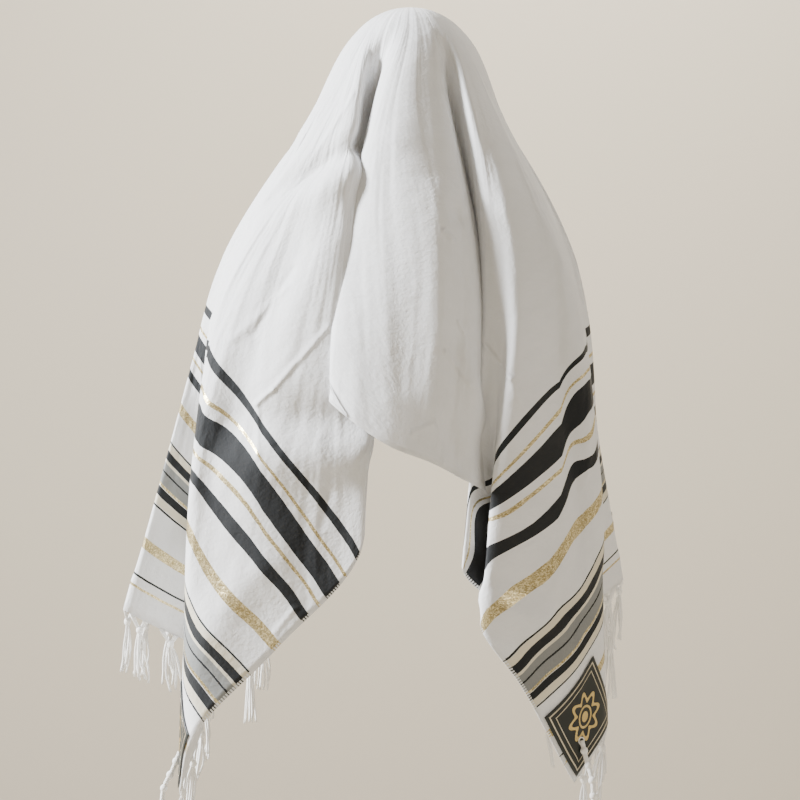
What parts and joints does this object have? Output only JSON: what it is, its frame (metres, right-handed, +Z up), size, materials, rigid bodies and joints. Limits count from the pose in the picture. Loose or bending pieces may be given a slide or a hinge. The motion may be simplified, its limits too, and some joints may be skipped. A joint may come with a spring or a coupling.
{
  "type": "tallit prayer shawl",
  "caption": "Striped rectangular prayer shawl draped over a head and shoulders, open down the front, with corner patches, knotted end fringe and long corner tassels.",
  "frame": {"origin": "mount crown: the point inside the crown of the hood where the shawl rests on a head, on the middle line of the cloth", "axes": "+X towards the right of the picture, which is the wearer's left; +Y towards the wearer's face, away from the camera; +Z up"},
  "size_m": [0.6573, 0.4501, 1.0924],
  "materials": {
    "woven_cloth": "matt weave with woven stripes",
    "patch_satin": "satin with metallic embroidery",
    "white_thread": "matt"
  },
  "bodies": {
    "root": {"shawl_cloth": "woven_cloth", "patch_back_left": "patch_satin", "patch_back_right": "patch_satin", "patch_front_left": "patch_satin", "patch_front_right": "patch_satin", "fringe_left": "white_thread", "fringe_right": "white_thread", "tassel_back_left": "white_thread", "tassel_back_right": "white_thread", "tassel_front_left": "white_thread", "tassel_front_right": "white_thread"}
  },
  "joints": []
}
